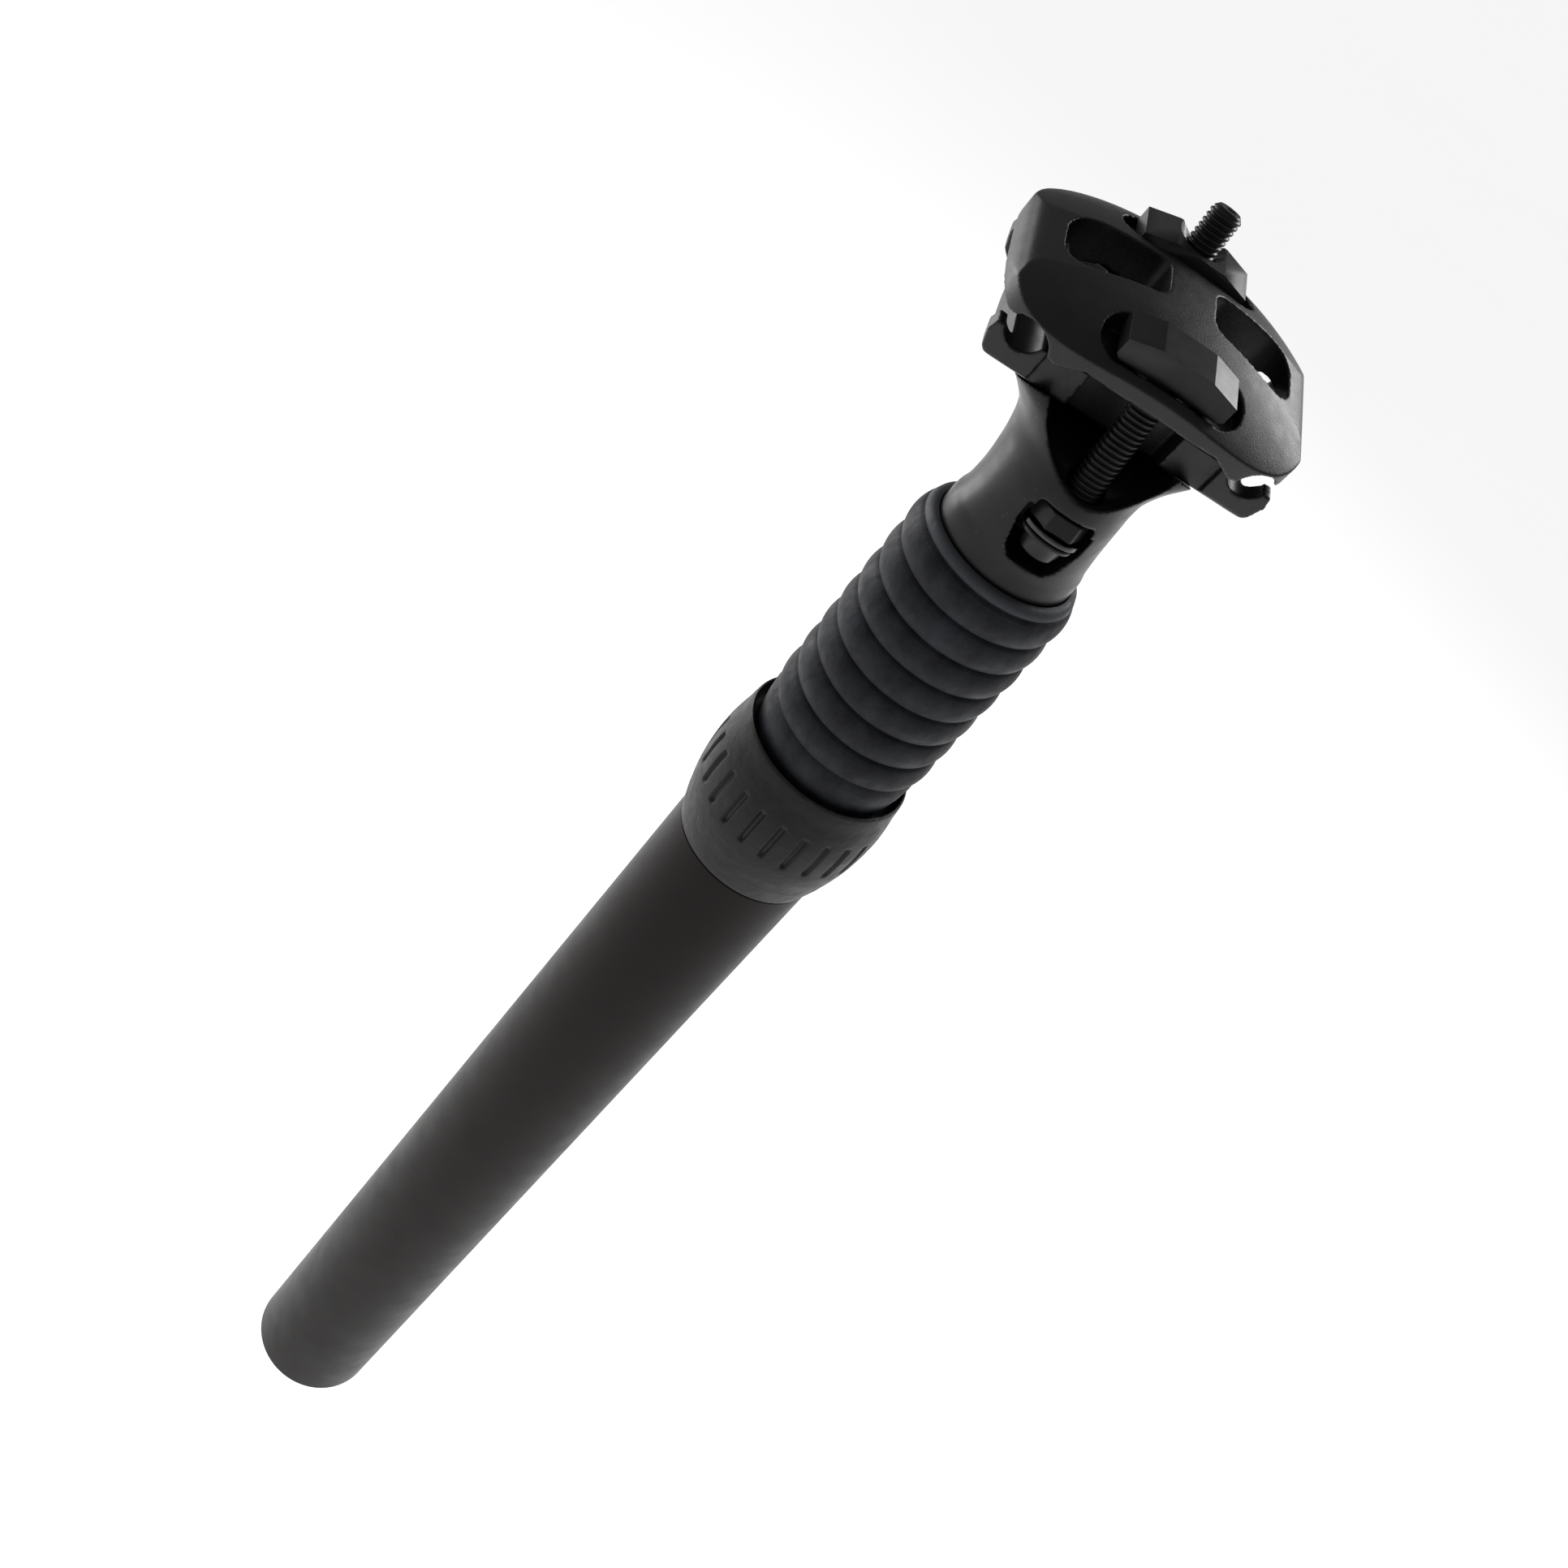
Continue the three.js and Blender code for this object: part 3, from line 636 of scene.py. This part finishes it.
def head_body():
    """The forging before it is carved: oval sections, squarer behind and more tapered in front."""
    rings = []
    for z, half, front, back, power in smooth_line(HEAD_SECTIONS, 5):
        ring = []
        for angle in full_turn(144):
            c, s = math.cos(angle), math.sin(angle)
            bend = 1 + (power - 2) * 0.3 if s < 0 else 2 / power
            x = half * math.copysign(abs(c) ** bend, c)
            y = (front + back) / 2 + (back - front) / 2 * math.copysign(abs(s) ** bend, s)
            ring.append((x, y, z))
        rings.append(ring)
    return skin("head", rings)


def head():
    cap_z = 353
    socket_top = 318.3
    hole_r = 3.5
    bowl_half, bowl_height, bowl_z = 13, 10.8, 350
    socket = rod(SHAFT_R + GAP, HEAD_LOW.z - 1, socket_top, 96)
    trough = cross_rod(TROUGH_R, 30, TROUGH)
    angles = [math.radians(4 * k) for k in range(90)]
    bowl_ring = [(bowl_half * math.cos(a), bowl_z + bowl_height * math.sin(a)) for a in angles]
    ramp_side = [(-26, 325), (20, 325), (20, 342.6), (-5, 342), (-8.4, 341.2), (-13.4, 337), (-26, 337)]
    scoop = cut(prism(bowl_ring, "Y", -25, 9), prism(fillet(ramp_side, 1.5), "X", -20, 20))
    cap = block((-30, 30), (-22, -2), (cap_z, cap_z + 20))
    pocket_front = [
        (-3.4, 323.4), (3.4, 323.4), (4.9, 325.2), (6.2, 330.4),
        (6.2, 333.9), (-6.2, 333.9), (-6.2, 330.4), (-4.9, 325.2),
    ]
    pocket = prism(fillet(pocket_front, 0.4), "Y", -20, -3.6)
    front_seat_z = bolt_axis("front_bolt_turn")[0].z
    rear_seat_z = bolt_axis("rear_bolt_turn")[0].z
    seats = [
        bolt_tool("front_bolt_turn", 5.7, front_seat_z - 6, front_seat_z),
        bolt_tool("rear_bolt_turn", 6.6, rear_seat_z - 12, rear_seat_z),
    ]
    holes = [bolt_tool("front_bolt_turn", hole_r, 331, 352), bolt_tool("rear_bolt_turn", hole_r, 334, 360)]
    piece = cut(head_body(), socket, trough, scoop, cap, pocket, *seats, *holes)
    forged(piece, 0.3, 5)
    finished(piece, "forged_head", "slider", "forged_head", "head")


# ---------- saddle clamp ----------

def lower_cradle():
    """Rocks in the head's trough: two rail grooves, a hook at each corner, a recess for each bolt."""
    groove = arc(RAIL_X, 0, RAIL_GROOVE_R, 196.7, 343.3, 33)
    hook = [(26.9, -0.9), (27.4, -3.2), (26.4, -6.4), (23.4, -9.2), (23.4, -13)]
    half = [(0, -0.9), (17.6, -0.9), *groove, *hook, (0, -13)]
    body = prism(mirrored(half), "Y", -CRADLE_HALF_LENGTH, CRADLE_HALF_LENGTH)
    centre = CLAMP.inverted() @ TROUGH
    belly = cross_rod(TROUGH_R - GAP, 40, centre)
    whole_height = (-20, 20)
    recess_half = 9.3
    hook_gap_half = 12.8
    tools = [
        block((-17.3, 17.3), (-40, 1.2 - CRADLE_HALF_LENGTH), whole_height),
        block((-recess_half, recess_half), (-30, -10.5), whole_height),
        block((-recess_half, recess_half), (4.2, 24.2), whole_height),
        block((23, 33), (-hook_gap_half, hook_gap_half), whole_height),
        block((-33, -23), (-hook_gap_half, hook_gap_half), whole_height),
    ]
    piece = moved(cut(common(body, belly), *tools), CLAMP)
    forged(piece, 0.3, 4)
    finished(piece, "rail_cradle", "cradle", "clamp_black", "lower_cradle")


def slot_outline(half_length, half_width, centre_y):
    reach = half_length - half_width
    right = arc(reach, centre_y, half_width, -90, 90, 20)
    left = arc(-reach, centre_y, half_width, 90, 270, 20)
    return right + left


def dome():
    """The ellipsoid that crowns the top clamp."""
    half_x, half_y, half_z = 42, 36, 20
    centre_y = 1.2
    rings = []
    for i in range(1, 90):
        fall = math.pi * i / 90
        radius, height = math.sin(fall), -math.cos(fall)
        z = CLAMP_CROWN - half_z + half_z * height
        rings.append([(half_x * radius * math.cos(a), centre_y + half_y * radius * math.sin(a), z)
                      for a in full_turn(180)])
    return skin("dome", rings)


def top_clamp():
    groove = arc(RAIL_X, 0, RAIL_GROOVE_R, 24, 166, 28)
    crown = smooth_line([(29, 1.2), (28.9, 2.6), (28, 4.6), (25.6, 6.6), (18, 9.1), (9, 11.2), (0, 12)], 8)
    half = [(0, 3.4), (12.5, 3.2), (16.8, 0.8), *reversed(groove), (26.6, 0.6), *crown]
    arch = prism(mirrored(half), "Y", -28, 28)
    plan = [(29 * math.copysign(abs(math.cos(a)) ** 0.6, math.cos(a)),
             1.4 + 24 * math.copysign(abs(math.sin(a)) ** 0.6, math.sin(a)))
            for a in full_turn(240)]
    body = common(arch, prism(plan, "Z", -2, 14), dome())
    front = [(4.5, -0.8), (5.6, -2.6), (17.4, -4.9), (20.4, -4.4), (22.4, -1.8), (22.6, 2)]
    rear = [(22.4, 6), (20.6, 8.6), (17.6, 9.4), (6, 8), (4.6, 6.8)]
    tools = []
    for side in (-1, 1):
        window = fillet([(side * x, y) for x, y in front + rear], 1.2)
        tools.append(prism(window, "Z", -2, 14))
        slot = slot_outline(SLOT_HALF_LENGTH, SLOT_HALF_WIDTH, side * SLOT_Y)
        tools.append(prism(slot, "Z", SLOT_FLOOR, 16))
        throat = slot_outline(SLOT_HALF_WIDTH + 0.6, SLOT_HALF_WIDTH, side * SLOT_Y)
        tools.append(prism(throat, "Z", -2, SLOT_FLOOR + 1))
    for name, side in (("front", -1), ("rear", 1)):
        passage = moved(rod(BOLT_PASSAGE_R, -11.5, -3), bolt_lean(name))
        tools.append(moved(passage, Matrix.Translation((0, side * SLOT_Y, NUT_Z))))
    piece = moved(cut(body, *tools), CLAMP)
    forged(piece, 0.26, 2)
    finished(piece, "clamp_plate", "top_clamp", "clamp_black", "top_clamp")


def bolt_lean(name):
    """A bolt's lean, seen from the clamp's frame."""
    axis = bolt_axis(f"{name}_bolt_turn")[1]
    return Matrix.Rotation(-math.atan2(axis.y, axis.z) - CLAMP_TILT, 4, "X")


def wedge_nut(side, name):
    """A wedge bar with sloped ends; the front one is blind, the rear one is bored through and countersunk."""
    end = NUT_HALF_LENGTH
    half = [(0, 3), (4.8, 3), (end, 1.5), (end, -1.6), (end - 0.8, -2.4), (0, -2.4)]
    bar = prism(mirrored(half), "Y", -NUT_HALF_WIDTH, NUT_HALF_WIDTH)
    lean = bolt_lean(name)
    bore_r = BOLT_R + 0.5
    bore = moved(rod(bore_r, -9, 1.6 if side < 0 else 9), lean)
    bar = cut(bar, bore)
    if side > 0:
        countersink = cylinder_steps([(bore_r, 2.0), (BOLT_R + 2.6, 4.1)])
        bar = cut(bar, moved(countersink, lean))
    seat = Matrix.Translation((0, side * SLOT_Y, NUT_Z))
    piece = bevelled(moved(bar, CLAMP @ seat), 0.45)
    finished(piece, f"wedge_nut_{name}", f"{name}_nut", "black_oxide", f"{name}_nut")


# ---------- bolts ----------

def threaded(low, high, tip):
    """A threaded shank from low up to high, chamfered from tip upwards."""
    per_turn, around = 10, 48
    rings = []
    levels = int((high - low) / BOLT_PITCH * per_turn)
    for i in range(levels + 1):
        z = low + (high - low) * i / levels
        ring = []
        for k in range(around):
            phase = (z / BOLT_PITCH - k / around) % 1.0
            crest = min(1.0, 2.6 * abs(phase - 0.5))
            radius = BOLT_R + 0.04 - 0.5 * (1 - crest)
            radius = min(radius, BOLT_R - max(0.0, z - tip) * 0.9)
            angle = 2 * math.pi * k / around
            ring.append((radius * math.cos(angle), radius * math.sin(angle), z))
        rings.append(ring)
    return skin("thread", rings)


def clamp_bolt(name, tip_z):
    """A bolt and its washer: hex, washer neck, flange and tapered tail, then a threaded shank above."""
    joint = f"{name}_bolt_turn"
    place = bolt_place(joint)
    seat, axis = bolt_axis(joint)
    length = (tip_z - seat.z + GAP) / axis.z
    flange_top = -HEX_HEIGHT - WASHER_HEIGHT - 2 * GAP
    hexagon = bevelled(rod(HEX_R, -HEX_HEIGHT, 0, 6), 0.3)
    tail = cylinder_steps([
        (2.7, -BOLT_HEAD_HEIGHT), (3.1, -BOLT_HEAD_HEIGHT + 0.4), (3.9, flange_top - 1.1),
        (FLANGE_R - 0.2, flange_top - 0.9), (FLANGE_R, flange_top - 0.7), (FLANGE_R, flange_top - 0.2),
        (FLANGE_R - 0.2, flange_top), (BOLT_R, flange_top), (BOLT_R, 0.8),
    ])
    shank = threaded(0.4, length, length - 0.9)
    piece = join(hexagon, tail, shank)
    cup = cylinder_steps([(0.4, length - 0.9), (1.5, length + 0.2)], 48)
    key = rod(KEY_R, -BOLT_HEAD_HEIGHT - 1, -BOLT_HEAD_HEIGHT + 2.6, 6, math.pi / 6)
    piece = flat_faced(moved(cut(piece, key, cup), place))
    finished(piece, f"clamp_bolt_{name}", f"{name}_bolt", "black_oxide", f"{name}_bolt")
    top = -HEX_HEIGHT - GAP
    low = top - WASHER_HEIGHT
    disc = [(BOLT_R + GAP, low), (WASHER_R, low), (WASHER_R, top), (BOLT_R + GAP, top)]
    washer = shaded(moved(revolve("washer", fillet(disc, 0.2), 96), place), 60)
    finished(washer, f"washer_{name}", f"{name}_bolt", "washer_steel", f"{name}_washer")


# ---------- carried-over CAD nodes ----------

def dress_cad_nodes():
    """Hidden and small CAD nodes keep their shape and get procedural finishes and a softened edge."""
    edge_width = 0.15
    slots = {row["node"]: row["material_slot"] for row in frame["record"]["subparts"]}
    for name, node in frame["nodes"].items():
        if node.hide_render:
            continue
        for slot in node.material_slots:
            slot.material = FINISH[slots[name]]
        bevel = node.modifiers.new("edge", "BEVEL")
        bevel.width = edge_width * MM
        bevel.segments = 2
        bevel.limit_method = "ANGLE"
        bevel.angle_limit = math.radians(40)


# ---------- stage, in metres ----------

FLOOR_Z = -0.25
TARGET = Vector((0, 0, 0.24))


def floor():
    """A pale floor that gives off some light, so that it stays white."""
    half = 6.0
    corners = [(x, y, FLOOR_Z) for x, y in ((-half, -half), (half, -half), (half, half), (-half, half))]
    mesh = bpy.data.meshes.new("floor")
    mesh.from_pydata(corners, [], [(0, 1, 2, 3)])
    piece = add_object("floor", mesh)
    made = Shader("studio_floor", Roughness=0.9, Emission_Color=(1, 1, 1, 1), Emission_Strength=0.75)
    made.colour(made.ramp(made.noise(400, 2), [(0.3, 0.92), (0.7, 0.95)]))
    mesh.materials.append(made.material)


def area_light(name, place, target, size, power):
    data = bpy.data.lights.new(name, "AREA")
    data.shape = "RECTANGLE"
    data.size, data.size_y = size
    data.energy = power
    light = bpy.data.objects.new(name, data)
    bpy.context.scene.collection.objects.link(light)
    light.location = place
    light.rotation_mode = "QUATERNION"
    light.rotation_quaternion = (Vector(target) - Vector(place)).to_track_quat("-Z", "Y")


def studio():
    world = bpy.data.worlds.new("studio")
    world.use_nodes = True
    world.node_tree.nodes["Background"].inputs["Color"].default_value = (1, 1, 1, 1)
    world.node_tree.nodes["Background"].inputs["Strength"].default_value = 0.18
    bpy.context.scene.world = world
    area_light("left_box", (-0.65, 0.65, 0.3), TARGET, size=(0.4, 0.8), power=5.0)
    area_light("right_box", (0.75, 0.75, 0.85), TARGET, size=(0.5, 0.5), power=6.5)
    bpy.context.scene.view_settings.view_transform = "Standard"


def camera():
    """A view from high in front and to the left, rolled so that the post leans right."""
    data = bpy.data.cameras.new("camera")
    data.lens = 44.72
    data.sensor_width = 36
    data.clip_start, data.clip_end = 0.01, 50
    right = Vector((0.84258, 0.14414, 0.51892))
    up = Vector((-0.47786, 0.64448, 0.59691))
    back = Vector((-0.24840, -0.75091, 0.61190))
    place = Vector((-0.09514, -0.28124, 0.47674))
    turn = Matrix((right, up, back)).transposed().to_4x4()
    view = bpy.data.objects.new("camera", data)
    bpy.context.scene.collection.objects.link(view)
    view.matrix_world = Matrix.Translation(place) @ turn
    bpy.context.scene.camera = view


lower_tube()
collar()
bellows()
main_spring()
head()
lower_cradle()
top_clamp()
wedge_nut(-1, "front")
wedge_nut(1, "rear")
clamp_bolt("front", FRONT_TIP_Z)
clamp_bolt("rear", REAR_TIP_Z - 0.3)
dress_cad_nodes()
floor()
studio()
camera()
